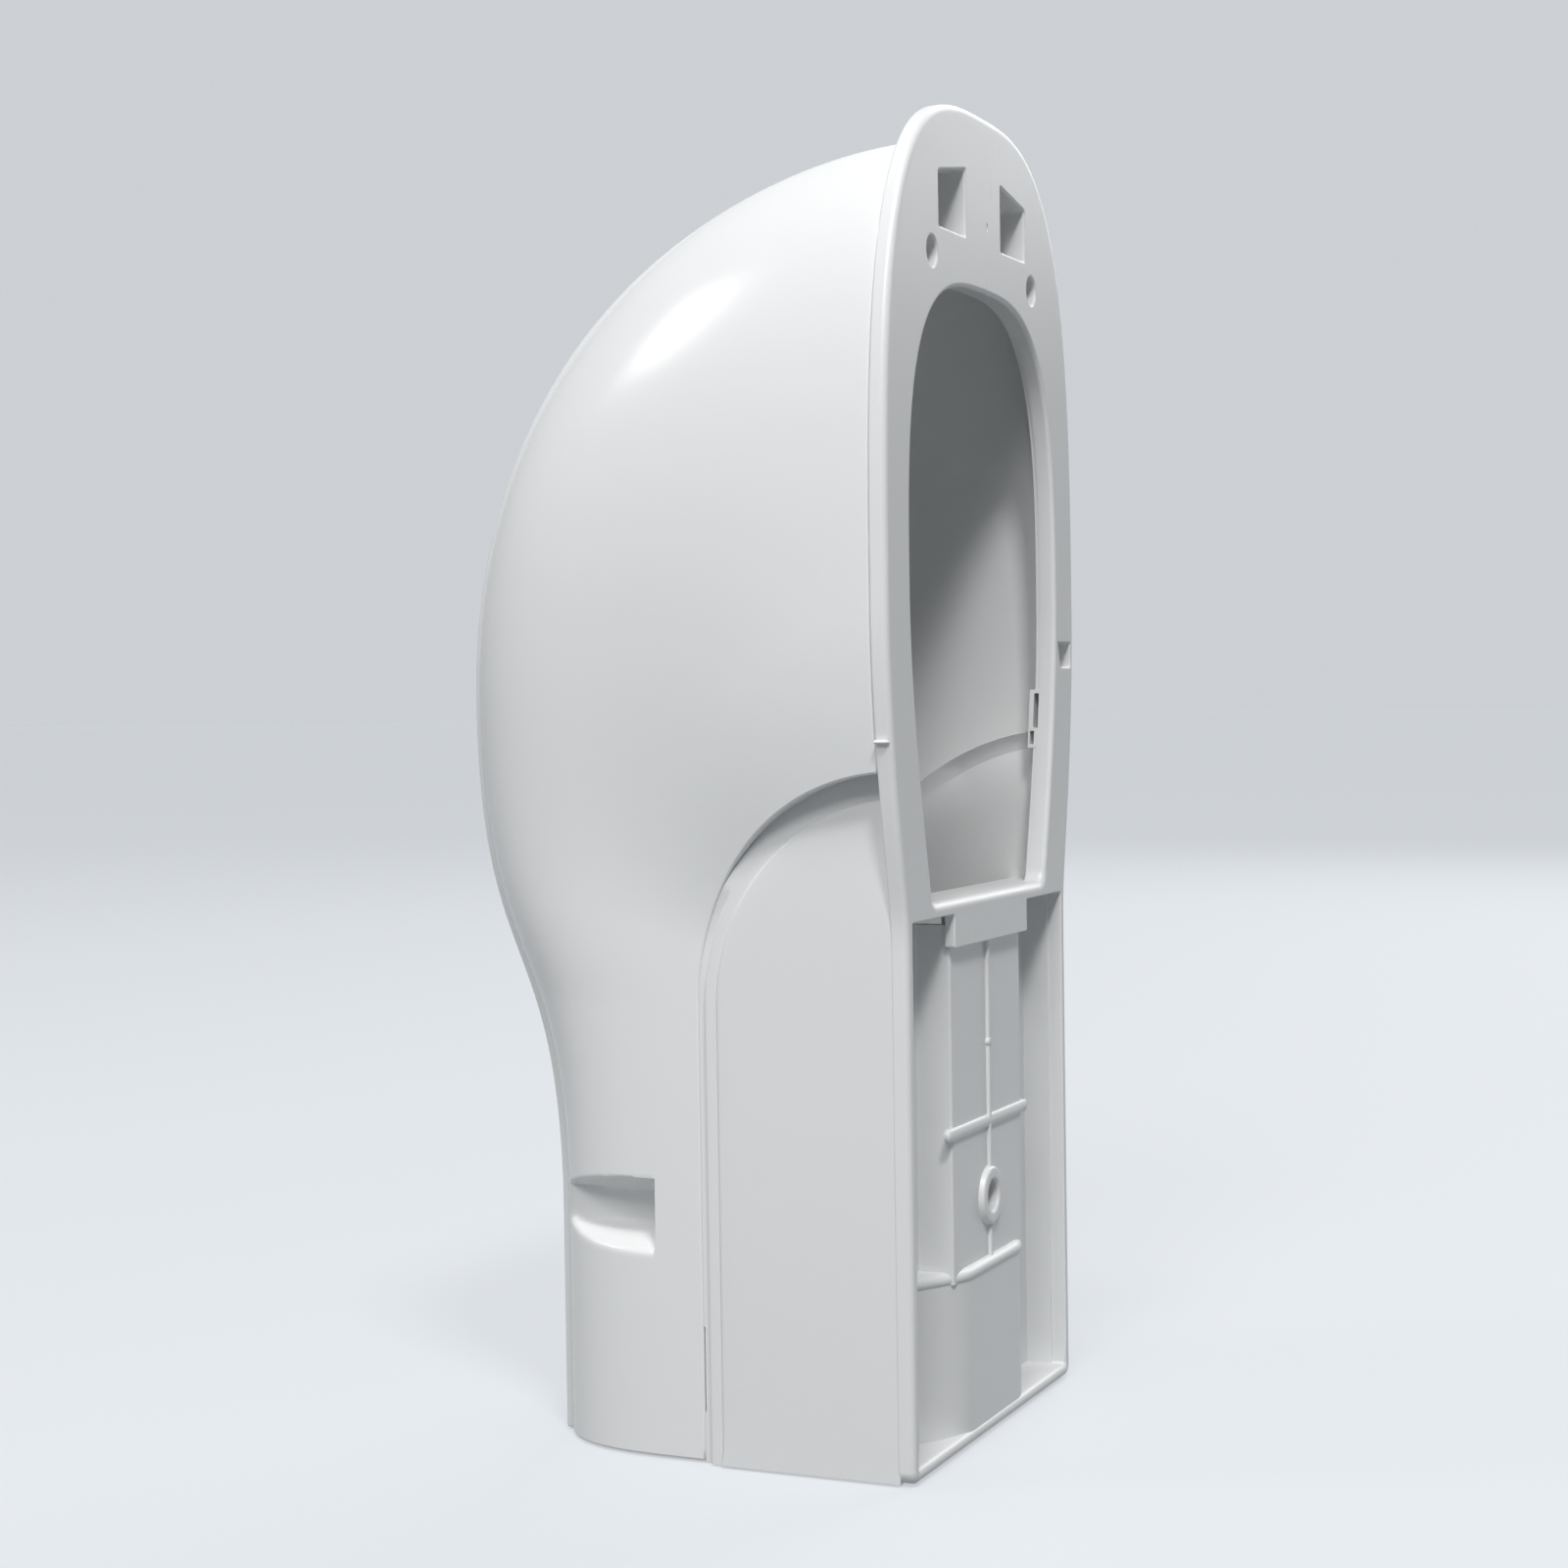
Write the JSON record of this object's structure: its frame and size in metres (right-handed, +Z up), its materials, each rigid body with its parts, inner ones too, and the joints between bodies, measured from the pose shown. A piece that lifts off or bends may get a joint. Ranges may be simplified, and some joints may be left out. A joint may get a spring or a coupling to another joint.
{
  "type": "line set cover wall entry",
  "caption": "Arched white plastic cover that hides air conditioner pipes where a wall duct ends and they pass through the wall.",
  "frame": {"origin": "middle of the open duct end, in the wall plane", "axes": "+Z up, +Y into the wall, +X to the right as seen from the front"},
  "size_m": [0.0944, 0.0874, 0.226],
  "materials": {
    "base_plastic": "gloss white moulded plastic",
    "cover_plastic": "gloss white moulded plastic"
  },
  "bodies": {
    "back_part": {"wall_base": "base_plastic"},
    "cover": {"front_cover": "cover_plastic"}
  },
  "joints": [
    {"name": "cover_pull", "type": "slide", "parent": "back_part", "child": "cover", "axis": [0, -1, 0], "range_m": [0, 0.06]}
  ]
}
